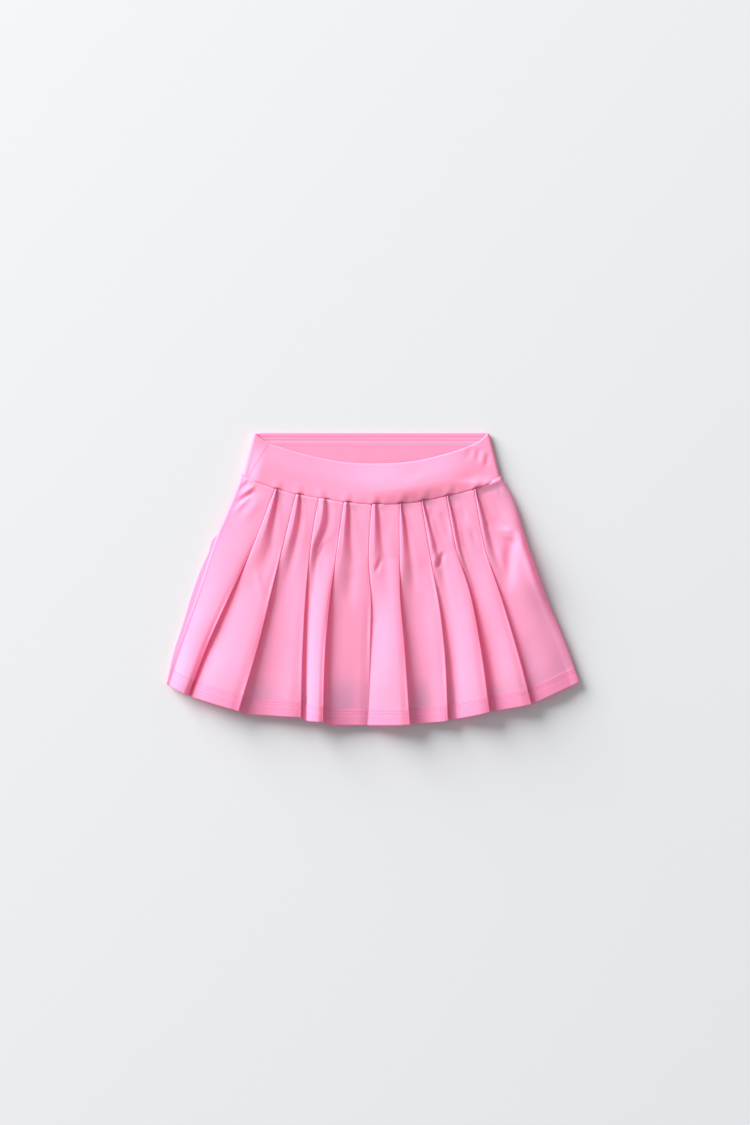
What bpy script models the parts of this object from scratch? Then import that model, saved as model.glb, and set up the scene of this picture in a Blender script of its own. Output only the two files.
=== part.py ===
"""A child's pleated skort laid flat: two waistbands, a pleated skirt front and back, and inner shorts.

Lengths are in millimetres until the meshes are made. +Y runs from the hem to the waist, +Z up from the
surface that the skort lies on. Every piece is a sheet through rows of points, thickened to a wall.
"""

import math
from collections import namedtuple

import bpy
import numpy as np

MM = 0.001

# Cloth
WALL = 1.0
BAND_WALL = 2.6
SEAM_GAP = 0.3
FOLD_RADIUS = 0.85
LAYER = 2 * FOLD_RADIUS
PLEAT_STACK = 2 * LAYER

# The heights of the layers, at the middle of each wall
BACK_LOW = WALL / 2
BACK_HIGH = BACK_LOW + PLEAT_STACK
SHORTS_LOW = BACK_HIGH + WALL + 0.4
SHORTS_HIGH = SHORTS_LOW + LAYER
FRONT_ON_BACK = BACK_HIGH + WALL + 0.4
FRONT_ON_SHORTS = SHORTS_HIGH + WALL + 0.4

# Waist and hem
SEAM_LIP = 1.5
SIDE_LIP = 0.4
LEFT_SEAM_Y = 111.0
RIGHT_SEAM_Y = 108.4
BACK_TOP_Y = 158.4
# The waistband's side folds: their heights at the waist seam and at the top, and how wide they round
BAND_FOLD_Z = (6.4, 4.9)
BAND_ROUNDING = 16.0
BAND_PUFF = 1.1
BAND_SHARES = [0.0, 0.1, 0.3, 0.55, 0.8, 1.0]
BAND_LEFT = ((-140.5, LEFT_SEAM_Y), (-128.2, 157.8))
BAND_RIGHT = ((136.3, RIGHT_SEAM_Y), (123.8, 157.8))
# How far in from the side fold each waistband seam lies, at the waist seam and at the top
LEFT_SEAM_IN = (5.0, 15.0)
RIGHT_SEAM_IN = (14.0, 3.5)
BACK_HEM_Y = -127.5
BACK_CORNERS_Y = (-113.4, -111.2)

# Shorts
SHORTS_BACK_TOP_Y = 106.0
SHORTS_FRONT_TOP_Y = (77.0, 96.0)
LEG_HEM_Y = -110.0
CROTCH_Y = -55.0
INSEAM_SLANT = 0.16
INSEAM_PINCH = 0.2
# The outer edge of the shorts at each height, y then half width
SHORTS_EDGE = [(111.0, 122.0), (60.0, 142.0), (0.0, 158.0), (-55.0, 163.0), (-110.0, 158.0)]
# How far beside that edge and below the leg hems the skirt comes down off the shorts, from and to
SHORTS_SLOPE_BESIDE = (2.0, 20.0)
SHORTS_SLOPE_BELOW = (42.0, 16.0)
SHORTS_LEVELS = [0.0, 0.25, 0.5, 0.72, 0.76, 1.0]
# Round one leg's section: how far out each point lies, and its angle round the side fold
LEG_SECTION = [(0.0, -90), (0.5, -90), (1.0, -90), (1.0, -30), (1.0, 30), (1.0, 90), (0.5, 90), (0.0, 90)]

# Pleats
LAP = 17.0
LAP_SHARE = 0.45
# The ridge of gathered cloth against each stitched fold: where it starts, then its heights at shares
# of the panel
GATHER_START = 1.0
GATHER_RIDGE = ([0.0, 0.1, 0.2, 0.32, 0.5], [0.0, 4.3, 3.4, -0.5, 0.0])
# The share of a side's height that is left at the hem
SIDE_AT_HEM = 0.6
# The outermost panels of the back stay low until they are this wide, then rise by this slope
BACK_EDGE_WIDTH = 5.0
BACK_EDGE_SLOPE = 0.3

Line = namedtuple("Line", "name path release crest valley bow hump drop")

# Each row is one pleat's fold, or a side of the skirt: its path from waist seam to hem, the share of
# that path that is stitched down, then at the hem the fold's height, the height of the valley on its
# right, how late the next panel rises, how far it bulges in its middle, and how much lower its hem
# starts.
FRONT_LINES = [
    Line("left_side", [(-142.8, LEFT_SEAM_Y), (-156.1, 76.7), (-169.5, 45.0), (-190.6, -16.8),
                       (-209.8, -71.3), (-223.6, -113.6)], 0.0, 3.2, 3.2, 0.9, 1.0, 0.0),
    Line("fold_1", [(-108.1, 97.6), (-128.7, 39.2), (-155.8, -20.5), (-180.1, -74.5), (-199.7, -125.3)],
         0.26, 10.0, 3.0, 0.8, 0.0, 0.5),
    Line("fold_2", [(-85.9, 91.6), (-98.8, 30.8), (-109.1, -11.2), (-124.0, -71.1), (-144.6, -142.1)],
         0.26, 14.5, 1.5, 2.2, 0.0, 3.2),
    Line("fold_3", [(-61.3, 87.4), (-67.2, 40.3), (-71.8, -11.9), (-72.5, -71.3), (-74.5, -149.0)],
         0.22, 9.5, 3.6, 0.35, 0.0, 3.2),
    Line("fold_4", [(-34.3, 82.8), (-40.7, 22.4), (-46.1, -15.4), (-51.5, -73.1), (-54.0, -153.5)],
         0.25, 17.0, 1.5, 1.3, 0.5, 3.8),
    Line("fold_5", [(-4.1, 80.4), (-5.2, 20.5), (-2.5, -19.1), (-3.2, -73.1), (-5.2, -157.7)],
         0.25, 7.5, 4.0, 0.8, 0.0, 0.0),
    Line("fold_6", [(25.9, 80.8), (28.1, 20.5), (28.9, -19.1), (33.2, -69.4), (39.4, -156.6)],
         0.25, 16.0, 1.5, 1.9, 0.0, 0.5),
    Line("fold_7", [(49.4, 83.4), (63.7, 11.6), (70.5, -24.5), (76.4, -73.1), (80.5, -152.8)],
         0.30, 9.0, 3.6, 0.8, 0.0, 0.0),
    Line("fold_8", [(76.4, 88.8), (89.4, 31.3), (102.6, -9.4), (115.0, -71.3), (125.0, -143.0)],
         0.25, 15.0, 1.8, 1.6, 0.0, 0.5),
    Line("fold_9", [(106.3, 95.6), (121.3, 29.9), (138.0, -20.5), (153.4, -71.3), (170.1, -134.8)],
         0.28, 11.5, 2.0, 1.0, 3.0, 0.5),
    Line("right_side", [(138.5, RIGHT_SEAM_Y), (147.4, 93.4), (166.1, 37.4), (186.0, -17.3), (208.1, -71.3),
                        (222.6, -111.2)], 0.0, 8.0, 0.0, 0.0, 0.0, 0.0),
]

SIDES = ("left_side", "right_side")
BACK_FOLDS = 9
BACK_SEAM_SPAN = (112.0, -128.0)
BACK_HEM_SPAN = (184.0, -223.9)
LAST_BACK_FOLD = [(-128.0, 111.0), (-174.4, 43.2), (-193.2, -9.4), (-210.1, -61.6), (-223.9, -113.4)]

# Where along a pleat's visible panel its points lie, as shares of the panel
FRONT_SHARES = [0.0, 0.1, 0.2, 0.32, 0.5, 0.72, 0.88]
BACK_SHARES = [0.0, 0.3, 0.62]
FRONT_LEVELS = [0.0, 0.07, 0.16, 0.26, 0.37, 0.48, 0.6, 0.72, 0.84, 0.93, 1.0]
BACK_LEVELS = [0.0, 0.07, 0.16, 0.26, 0.48, 0.6, 0.84, 1.0]
# The height of the side seams at each level, in the world's frame
SIDE_SEAM_Z = [(0.0, 4.1), (0.26, 6.2), (1.0, 6.2)]

# The front waistband's top edge, x then y
TOP_EDGE = [(-128.2, 157.8), (-118.0, 149.2), (-100.0, 142.3), (-70.0, 133.8), (-40.0, 127.4), (5.0, 124.8),
            (45.0, 127.5), (75.0, 134.5), (100.0, 142.5), (115.0, 149.8), (123.8, 157.8)]

PINK = (0.95, 0.42, 0.64, 1.0)
INNER_PINK = (0.90, 0.36, 0.58, 1.0)


def ease(value, low, high):
    """0 below low, 1 above high, and a smooth step between."""
    share = min(1.0, max(0.0, (value - low) / (high - low)))
    return share * share * (3 - 2 * share)


def mix(start, end, share):
    return start + (end - start) * share


def curve(points, at):
    """A smooth curve's height through (x, y) points in rising x: cubic pieces, slopes from the neighbours."""
    xs, ys = np.array(points, float).T
    slopes = np.gradient(ys, xs)
    i = int(np.clip(np.searchsorted(xs, at) - 1, 0, len(xs) - 2))
    width = xs[i + 1] - xs[i]
    t = min(1.0, max(0.0, (at - xs[i]) / width))
    rise = ys[i + 1] - ys[i]
    start, end = slopes[i] * width, slopes[i + 1] * width
    return ys[i] + t * start + t * t * (3 * rise - 2 * start - end) + t**3 * (start + end - 2 * rise)


def spot(line, level):
    """(x, y) of a line at a level: 0 at the waist seam and 1 at the hem."""
    if line.name in SIDES and level not in BACK_LEVELS:
        above = max(known for known in BACK_LEVELS if known < level)
        below = min(known for known in BACK_LEVELS if known > level)
        share = (level - above) / (below - above)
        return tuple(mix(a, b, share) for a, b in zip(spot(line, above), spot(line, below)))
    y = mix(line.path[0][1], line.path[-1][1], level)
    return curve([(b, a) for a, b in reversed(line.path)], y), y


def opening(line, level):
    """How far a pleat has sprung open: 0 where it is stitched down, 1 at the hem."""
    return max(0.0, (level - line.release) / (1 - line.release)) ** 0.85


def seam_y(x):
    """The waist seam's height across the front."""
    seam = [line.path[0] for line in FRONT_LINES]
    return float(np.interp(x, [p[0] for p in seam], [p[1] for p in seam]))


def shorts_cover(x, y):
    """1 where the shorts lie under the front, falling to 0 beside and below them."""
    edge = curve(sorted(SHORTS_EDGE), y)
    beside = 1 - ease(abs(x) - edge, *SHORTS_SLOPE_BESIDE)
    return beside * ease(y, *(LEG_HEM_Y - drop for drop in SHORTS_SLOPE_BELOW))


def front_base(x, y):
    """The height of the front skirt's lowest layer."""
    return mix(FRONT_ON_BACK, FRONT_ON_SHORTS, shorts_cover(x, y))


def arc(centre, start, end, steps):
    """Points on a fold's arc, its angles in degrees."""
    turns = [math.radians(mix(start, end, i / steps)) for i in range(steps + 1)]
    return [(centre[0] + FOLD_RADIUS * math.cos(a), centre[1] + FOLD_RADIUS * math.sin(a)) for a in turns]


def fold_back(tip, crest, turn, floor, steps):
    """The cloth round a pleat's fold, back under it, and round the hidden fold below, as (x, z)."""
    upper = (tip - FOLD_RADIUS, crest - FOLD_RADIUS)
    lower = (turn + FOLD_RADIUS, floor + FOLD_RADIUS)
    run, fall = upper[0] - lower[0], upper[1] - lower[1]
    tilt = math.degrees(math.atan2(fall, run) - math.asin(2 * FOLD_RADIUS / math.hypot(run, fall)))
    return arc(upper, 90, tilt - 90, steps) + arc(lower, 90 + tilt, 270, steps)


def side_curl(edge, inward, near, seam_z, reach, steps):
    """From the side seam straight up a little, then a quarter ellipse to the panel, as (x, z)."""
    lip_z = seam_z + SIDE_LIP
    points = [(edge, seam_z)]
    for i in range(steps + 1):
        angle = math.pi / 2 * i / steps
        points.append((edge + inward * reach * (1 - math.cos(angle)), mix(lip_z, near, math.sin(angle))))
    return points


Cloth = namedtuple("Cloth", "lines shares base seam_z curls flat_end stitched fold_steps")


def lap_of(cloth, index, level):
    """How far a pleat's cloth goes back under its own fold."""
    here = spot(cloth.lines[index], level)[0]
    before = spot(cloth.lines[index - 1], level)[0]
    return min(LAP, LAP_SHARE * (here - before))


def panel_points(cloth, index, level):
    """The panel between two lines, from the hidden fold under the first to the top of the second."""
    left, right = cloth.lines[index], cloth.lines[index + 1]
    (x0, y0), (x1, y1) = spot(left, level), spot(right, level)
    step_down = left.drop * level**6
    last = index + 2 == len(cloth.lines)
    end = x1 - (cloth.curls[1] if last else FOLD_RADIUS)
    ridge = gather(cloth, index, level)
    start = x0 + (cloth.curls[0] if index == 0 else GATHER_START * ridge)
    hidden = start if index == 0 else x0 - lap_of(cloth, index, level) + FOLD_RADIUS
    start = min(start, mix(hidden, end, 0.5))
    rise = side_rise(cloth, 0, level) if index == 0 else left.valley * opening(left, level)
    low, high = cloth.base(start, y0) + rise, crest_height(cloth, index + 1, level)
    reach, power = cloth.flat_end, left.bow
    if cloth.stitched:
        reach, power = mix(reach, 1.0, opening(right, level)), mix(1.0, power, opening(right, level))
    elif last:
        reach = 1.0
    points = []
    for share in cloth.shares:
        x = mix(start, end, share)
        climb = math.sin(math.pi / 2 * min(1.0, share / reach)) ** power
        hump = left.hump * opening(left, level) * math.sin(math.pi * share)
        z = mix(low, high, climb) + ridge * float(np.interp(share, *GATHER_RIDGE)) + hump
        across = max(0.0, (x - x0) / (x1 - x0)) if x1 > x0 else 0.0
        y = mix(y0 - step_down * min(1.0, share / cloth.shares[1]), y1, across)
        points.append((x, y, z))
    across = min(1.0, max(0.0, (end - x0) / (x1 - x0))) if last else 1.0
    points.append((end, mix(y0 - step_down, y1, across), high))
    return points


def gather(cloth, index, level):
    """How much cloth is gathered against a stitched fold: less at the seam, and fading at the release."""
    if not cloth.stitched or index == 0:
        return 0.0
    release = cloth.lines[index].release
    return ease(level, -0.12, 0.08) * (1 - ease(level, release - 0.1, release + 0.14))


def side_rise(cloth, side, level):
    """How far the cloth stands above its base just inside a side seam."""
    line = cloth.lines[-1 if side else 0]
    return mix(LAYER, line.crest, ease(level, 0.0, 0.5)) * mix(1.0, SIDE_AT_HEM, ease(level, 0.4, 1.0))


def crest_height(cloth, index, level):
    """The height of a pleat's fold, or of the cloth beside the last side seam."""
    line = cloth.lines[index]
    x, y = spot(line, level)
    if index + 1 == len(cloth.lines):
        gap = x - spot(cloth.lines[-2], level)[0]
        rise = min(PLEAT_STACK, max(0.0, BACK_EDGE_SLOPE * (gap - BACK_EDGE_WIDTH)))
        return cloth.base(x - cloth.curls[1], y) + (side_rise(cloth, 1, level) if cloth.stitched else rise)
    return cloth.base(x, y) + PLEAT_STACK + max(0.0, line.crest - PLEAT_STACK) * opening(line, level)


def cloth_row(cloth, level):
    """All the points across a pleated cloth at one level, in the pleats' own frame."""
    lines = cloth.lines
    (x, y), (end_x, end_y) = spot(lines[0], level), spot(lines[-1], level)
    near = panel_points(cloth, 0, level)[0][2]
    row = [(px, y, pz) for px, pz in side_curl(x, 1, near, cloth.seam_z(level), cloth.curls[0], 3)[:-1]]
    for index in range(len(lines) - 1):
        row += panel_points(cloth, index, level)
        if index + 2 < len(lines):
            (before, before_y), (tip, tip_y) = spot(lines[index], level), spot(lines[index + 1], level)
            crest, slope = row[-1][2], (tip_y - before_y) / (tip - before)
            turn = tip - lap_of(cloth, index + 1, level)
            floor = cloth.base(turn, tip_y)
            lap = fold_back(tip, crest, turn, floor, cloth.fold_steps)[1:]
            row += [(px, tip_y + slope * (px - tip), pz) for px, pz in lap]
    near = row[-1][2]
    curl = side_curl(end_x, -1, near, cloth.seam_z(level), cloth.curls[1], 3)[:-1]
    last_y = row[-1][1]
    row += [(px, mix(end_y, last_y, (end_x - px) / cloth.curls[1]), pz) for px, pz in reversed(curl)]
    return row


def cloth_rows(cloth, levels, top_y):
    """Every level's row, with the first drawn up to the waist seam."""
    rows = [np.array(cloth_row(cloth, level)) for level in levels]
    lift = np.array([top_y(x) for x in rows[0][:, 0]]) - SEAM_GAP / 2 - rows[0][:, 1]
    for level, row in zip(levels, rows):
        row[:, 1] += lift * (1 - level) ** 6
    return [rows[0], rows[0] - (0, SEAM_LIP, 0)] + rows[1:]


def side_seam_z(level):
    return float(np.interp(level, *zip(*SIDE_SEAM_Z)))


def front_seam_z(level):
    return side_seam_z(level) + SEAM_GAP / 2


def back_seam_z(level):
    """The same seam in the back's own frame, which is turned over."""
    return BACK_HIGH - side_seam_z(level) + SEAM_GAP / 2


def back_seam_y(x):
    """The waist seam's height across the back."""
    return float(np.interp(x, [BAND_LEFT[0][0], BAND_RIGHT[0][0]], [LEFT_SEAM_Y, RIGHT_SEAM_Y]))


def back_lines():
    """The back's folds, seen turned over about the Y axis, so that they run left to right again."""
    right = [(-x, y) for x, y in FRONT_LINES[-1].path]
    lines = [Line("right_side", right, 0.0, 0.0, 0.0, 1.0, 0.0, 0.0)]
    for i in range(BACK_FOLDS):
        share = i / (BACK_FOLDS - 1)
        top = -mix(*BACK_SEAM_SPAN, share)
        foot = -mix(*BACK_HEM_SPAN, share)
        corner = mix(*reversed(BACK_CORNERS_Y), share)
        hem = mix(corner, BACK_HEM_Y, math.sin(math.pi * share) ** 0.7)
        path = [(top, back_seam_y(-top)), (foot, hem)]
        if i + 1 == BACK_FOLDS:
            path = [(-x, y) for x, y in LAST_BACK_FOLD]
        bow = 1.6 if share == 1 else 1.0
        lines.append(Line(f"back_fold_{i + 1}", path, 0.0, PLEAT_STACK, 0.0, bow, 0.0, 0.0))
    left = [(-x, y) for x, y in FRONT_LINES[0].path]
    lines.append(Line("left_side", left, 0.0, 0.0, 0.0, 1.0, 0.0, 0.0))
    return lines


def front_rows():
    cloth = Cloth(FRONT_LINES, FRONT_SHARES, front_base, front_seam_z, (3.0, 9.0), 0.5, True, 3)
    return cloth_rows(cloth, FRONT_LEVELS, seam_y)


def back_rows():
    cloth = Cloth(back_lines(), BACK_SHARES, lambda x, y: 0.0, back_seam_z, (3.0, 3.0), 0.55, False, 2)
    rows = cloth_rows(cloth, BACK_LEVELS, lambda x: back_seam_y(-x))
    return [row * (-1, 1, -1) + (0, 0, BACK_HIGH) for row in rows]


def band_fold(side, share):
    """(x, y) of the waistband's side fold at a share of its height."""
    low, high = BAND_RIGHT if side else BAND_LEFT
    return mix(low[0], high[0], share), mix(low[1] + SEAM_GAP / 2, high[1], share)


def band_front_z(x, share):
    """The height of the front waistband, which climbs from its top edge to the pleats it is sewn to."""
    low = front_base(x, seam_y(x)) + LAYER
    puff = BAND_PUFF * math.sin(math.pi * share) ** 0.6 * ease(1 - share, 0.0, 0.5)
    return mix(low, BAND_FOLD_Z[1], share**1.5) + puff


def band_front_point(across, share):
    """A point on the front waistband: across runs from 0 at the left fold to 1 at the right fold."""
    (left, _), (right, _) = band_fold(0, share), band_fold(1, share)
    low_x = mix(BAND_LEFT[0][0], BAND_RIGHT[0][0], across)
    top_x = mix(BAND_LEFT[1][0], BAND_RIGHT[1][0], across)
    y = mix(seam_y(low_x) + SEAM_GAP / 2, curve(TOP_EDGE, top_x), share)
    x = mix(left, right, across)
    edge = min(x - left, right - x)
    return x, y, mix(mix(*BAND_FOLD_Z, share), band_front_z(x, share), ease(edge, 0.0, BAND_ROUNDING))


def band_back_point(x, share):
    return x, mix(back_seam_y(x) + SEAM_GAP / 2, BACK_TOP_Y, share), BAND_WALL / 2


def band_turn(side, share, steps):
    """The waistband round a side fold, from the back to the front, ends left out."""
    x, y = band_fold(side, share)
    outward = 1 if side else -1
    radius = (mix(*BAND_FOLD_Z, share) - BAND_WALL / 2) / 2
    centre = x - outward * radius
    points = []
    for i in range(1, steps):
        angle = math.pi * i / steps - math.pi / 2
        points.append((centre + outward * radius * math.cos(angle), y,
                       BAND_WALL / 2 + radius + radius * math.sin(angle)))
    return points, centre


def front_band_row(share):
    """Left seam, across the front, round the right fold to the seam at the back."""
    left, right = band_fold(0, share)[0], band_fold(1, share)[0]
    turn, inner = band_turn(1, share, 4)
    start = (mix(*LEFT_SEAM_IN, share) + SEAM_GAP / 2) / (right - left)
    stop = (inner - left) / (right - left)
    row = [band_front_point(mix(start, stop, i / 15), share) for i in range(16)]
    row += list(reversed(turn))
    back_end = right - mix(*RIGHT_SEAM_IN, share) + SEAM_GAP / 2
    return row + [band_back_point(x, share) for x in (inner, mix(inner, back_end, 0.5), back_end)]


def back_band_row(share):
    """From the seam at the back, across it, round the left fold to the seam at the front."""
    left, right = band_fold(0, share)[0], band_fold(1, share)[0]
    turn, inner = band_turn(0, share, 4)
    start = right - mix(*RIGHT_SEAM_IN, share) - SEAM_GAP / 2
    row = [band_back_point(mix(start, inner, i / 8), share) for i in range(9)]
    row += turn
    front_end = (mix(*LEFT_SEAM_IN, share) - SEAM_GAP / 2) / (right - left)
    front_start = (inner - left) / (right - left)
    return row + [band_front_point(mix(front_start, front_end, i / 2), share) for i in range(3)]


def make_sheet(name, rows, wall, colour, flip=False):
    """One piece: an open sheet through the rows, thickened evenly on both sides."""
    rows = [np.asarray(row) for row in rows]
    count = len(rows[0])
    points = np.concatenate(rows) * MM
    faces = []
    for j in range(len(rows) - 1):
        for i in range(count - 1):
            a = j * count + i
            quad = (a, a + 1, a + count + 1, a + count)
            faces.append(quad[::-1] if flip else quad)
    mesh = bpy.data.meshes.new(name)
    mesh.from_pydata([tuple(p) for p in points], [], faces)
    mesh.shade_smooth()
    obj = bpy.data.objects.new(name, mesh)
    thicken = obj.modifiers.new("wall", "SOLIDIFY")
    thicken.thickness = wall * MM
    thicken.offset = 0
    thicken.use_even_offset = True
    thicken.use_quality_normals = True
    mesh.materials.append(cloth_material(name, colour))
    return obj


def cloth_material(name, colour):
    material = bpy.data.materials.new(name)
    material.use_nodes = True
    shader = material.node_tree.nodes["Principled BSDF"]
    shader.inputs["Base Color"].default_value = colour
    shader.inputs["Roughness"].default_value = 0.75
    shader.inputs["Metallic"].default_value = 0.0
    return material


def leg_point(side, level, out, angle):
    """A point of the shorts: the back lies under the front, and both reach up to their own waist seam."""
    turn = math.radians(angle)
    front = (1 + math.sin(turn)) / 2
    back_y = mix(SHORTS_BACK_TOP_Y, LEG_HEM_Y, level)
    front_y = mix(mix(*SHORTS_FRONT_TOP_Y, out**2), LEG_HEM_Y, level)
    y = mix(back_y, front_y, front)
    inner = SEAM_GAP / 2 + INSEAM_SLANT * max(0.0, CROTCH_Y - y)
    outer = curve(sorted(SHORTS_EDGE), y) - FOLD_RADIUS
    pinch = INSEAM_PINCH * (1 - 2 * front) * (out == 0.0)
    x = mix(inner, outer, out) + FOLD_RADIUS * math.cos(turn)
    return side * x, y, mix(SHORTS_LOW, SHORTS_HIGH, front) + pinch


def leg_rows(side):
    return [[leg_point(side, level, out, angle) for out, angle in LEG_SECTION] for level in SHORTS_LEVELS]


def clear_scene():
    for obj in list(bpy.data.objects):
        bpy.data.objects.remove(obj)


def main():
    clear_scene()
    skort = bpy.data.collections.new("pleated_skort")
    bpy.context.scene.collection.children.link(skort)
    pieces = [
        make_sheet("waistband_front", [front_band_row(s) for s in BAND_SHARES], BAND_WALL, PINK),
        make_sheet("waistband_back", [back_band_row(s) for s in BAND_SHARES], BAND_WALL, PINK),
        make_sheet("skirt_front", front_rows(), WALL, PINK, flip=True),
        make_sheet("skirt_back", back_rows(), WALL, PINK, flip=True),
        make_sheet("shorts_left", leg_rows(-1), WALL, INNER_PINK),
        make_sheet("shorts_right", leg_rows(1), WALL, INNER_PINK),
    ]
    for piece in pieces:
        skort.objects.link(piece)


main()
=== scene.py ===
"""The looks of a pleated skort laid flat: finer cloth on the frame's solids, its sewing, a floor and light.

Lengths are in millimetres until the meshes are made, in the frame's own axes: +Y from hem to waist and +Z up
out of the floor. Each cloth is a grid of rows, worked out for all its levels at once. A level is 0 at the
waist seam and 1 at the hem.
"""

import math
from collections import namedtuple

import bpy
import numpy as np
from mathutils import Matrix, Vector


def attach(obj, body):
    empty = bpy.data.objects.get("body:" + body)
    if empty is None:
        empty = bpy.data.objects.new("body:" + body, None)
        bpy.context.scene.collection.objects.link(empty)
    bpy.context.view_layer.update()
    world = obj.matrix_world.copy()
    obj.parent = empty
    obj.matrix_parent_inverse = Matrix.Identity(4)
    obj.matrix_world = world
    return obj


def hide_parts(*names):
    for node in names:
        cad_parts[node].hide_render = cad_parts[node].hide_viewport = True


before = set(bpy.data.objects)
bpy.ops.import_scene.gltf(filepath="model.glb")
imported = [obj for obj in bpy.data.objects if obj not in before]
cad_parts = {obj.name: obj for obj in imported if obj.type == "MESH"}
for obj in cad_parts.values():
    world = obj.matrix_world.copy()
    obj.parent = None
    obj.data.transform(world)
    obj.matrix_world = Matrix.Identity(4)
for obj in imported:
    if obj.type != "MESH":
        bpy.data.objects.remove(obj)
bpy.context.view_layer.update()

MM = 0.001

# The cloth and its layers, as in the frame
BAND_WALL = 2.6
SEAM_GAP = 0.3
FOLD_RADIUS = 0.85
LAYER = 2 * FOLD_RADIUS
PLEAT_STACK = 2 * LAYER
BACK_HIGH = 3.9
SHORTS_LOW = 5.3
SHORTS_HIGH = 7.0
FRONT_ON_BACK = 5.3
FRONT_ON_SHORTS = 8.4

# The outline: the back's hem runs down from its first and its last corner to its lowest line between them
LEFT_SEAM_Y = 111.0
RIGHT_SEAM_Y = 108.4
BACK_TOP_Y = 158.4
BACK_CORNERS_Y = (-111.2, -113.4)
BACK_HEM_Y = -127.5

# How finely each cloth is divided: points across a panel, rows above HEM_LEVEL and below it, and steps round
# a fold. A side seam has its own steps, and a leg has points along each face, round its side, and rows.
Fineness = namedtuple("Fineness", "across rows hem_rows fold_steps")
FRONT_FINENESS = Fineness(36, 96, 20, 7)
BACK_FINENESS = Fineness(14, 60, 16, 5)
HEM_LEVEL = 0.925
SIDE_STEPS = 9
LEG_FINENESS = (20, 9, 60)

# Each side fold of the band: (x, y) at the seam and at the top. Then the height of both there.
BAND_LEFT = ((-140.5, LEFT_SEAM_Y), (-128.2, 157.8))
BAND_RIGHT = ((136.3, RIGHT_SEAM_Y), (123.8, 157.8))
BAND_FOLD_Z = (6.4, 4.9)
# How far in from the side folds the two bands are sewn together, at the waist seam and at the top
LEFT_SEAM_IN = (5.0, 15.0)
RIGHT_SEAM_IN = (14.0, 3.5)
# The front band's dipped top edge
TOP_EDGE = [(-128.2, 157.8), (-118.0, 149.2), (-100.0, 142.3), (-70.0, 133.8), (-40.0, 127.4), (5.0, 124.8),
            (45.0, 127.5), (75.0, 134.5), (100.0, 142.5), (115.0, 149.8), (123.8, 157.8)]
# Over what width the front band rounds down to its side folds: the second is the right one's, higher up
BAND_ROUNDING = (16.0, 50.0)
# How far the front band puffs up everywhere, and (x, height) of its swelling across the front
BAND_PUFF = 1.1
BAND_SWELL = [(-141.0, 0.0), (-25.0, 0.0), (38.0, 5.6), (58.0, 4.6), (137.0, -1.6)]
# How far the band's lower edge lifts over each groove beside a ridge, and over what width. The groove is this
# far right of the fold: a length, and a share of the ridge's width at the seam.
BAND_LIFT = (2.3, 4.0)
BAND_GROOVE = (0.8, 1.2)
# The band over each gathered ridge: height, place right of the fold and width of a swelling and of a hollow
BAND_RIDGES = ((0.7, 3.5, 4.5), (-0.5, 11.0, 3.5))
# Inside the band, how far below its top the elastic's channels and the twin-needle stitching are, and the
# height and width of the relief of each
BAND_CHANNELS = (5.2, 8.2)
CHANNEL_RELIEF = (0.28, 0.8)
BAND_NEEDLES = (10.4, 12.0)
NEEDLE_RELIEF = (-0.2, 0.5)
# How round the band's lower edge is, as a share of a half circle
BAND_EDGE_ROUND = 0.35
# Each band: whether it is the front one, the height that its section is worked out for, and its points across
Band = namedtuple("Band", "front height count")
FRONT_BAND = Band(True, 45.0, 170)
BACK_BAND = Band(False, 46.0, 60)

# The shorts: the back's top, and the front's at the inseam and at the side
SHORTS_BACK_TOP_Y = 106.0
SHORTS_FRONT_TOP_Y = (77.0, 96.0)
LEG_HEM_Y = -110.0
CROTCH_Y = -55.0
# How far the inseam leans out for each millimetre below the crotch
INSEAM_SLANT = 0.16
# (y, x) of a leg's outer edge, and where the front sinks to the back: beside that edge and below the hem
SHORTS_EDGE = [(-110.0, 158.0), (-55.0, 163.0), (0.0, 158.0), (60.0, 142.0), (111.0, 122.0)]
SHORTS_SLOPE_BESIDE = (2.0, 20.0)
SHORTS_SLOPE_BELOW = (58.0, -4.0)

# How far a pleat's cloth goes back under its own fold: LAP, or a share of the panel before it if that is less
LAP = 17.0
LAP_SHARE = 0.45
# How far past a stitched fold its ridge starts, and how far the fold's lip stands out over its stitching
GATHER_START = 0.2
FOLD_LIP = 2.0
# The levels over which gathering comes in, and it fades from a share of the release to this far past it
GATHER_IN = (-0.14, 0.08)
GATHER_OUT = (0.7, 0.30)
# The ridge of gathered cloth against each stitched fold: its width at the seam, halfway and at the
# release, and how far it stands over the layer under it.
Ridge = namedtuple("Ridge", "widths height")
RIDGES = {
    "fold_1": Ridge((3.7, 8.0, 13.0), 5.1),
    "fold_2": Ridge((5.7, 9.0, 9.0), 4.9),
    "fold_3": Ridge((9.4, 11.5, 5.0), 5.0),
    "fold_4": Ridge((6.3, 9.0, 13.0), 5.0),
    "fold_5": Ridge((6.6, 9.8, 12.5), 4.8),
    "fold_6": Ridge((3.2, 6.5, 9.0), 4.8),
    "fold_7": Ridge((3.4, 5.5, 7.0), 4.4),
    "fold_8": Ridge((3.4, 4.5, 3.6), 4.2),
    "fold_9": Ridge((2.8, 5.4, 6.0), 4.6),
}
# A ridge's shape: where it rises from and to, and its least width. Then, as shares of its width and height,
# where its flank starts and how wide that is, each at the seam and at the release, and the height, place
# and width of the groove beside it and of the swelling past that.
RIDGE_START = (-0.9, 0.6)
RIDGE_LEAST = 1.8
RIDGE_FLANK = ((0.75, 0.3), (0.32, 1.3))
RIDGE_GROOVE = (-0.14, 1.25, 0.25)
RIDGE_SWELL = (0.10, 2.1, 0.5)
# How a panel bows while it is stitched down: at the seam, and below SEAM_LEVEL
SEAM_BOW = 0.5
STITCHED_BOW = 1.25
SEAM_LEVEL = 0.04
# The power of the level with which a pleat opens below its release
OPENING = 0.85
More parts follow.
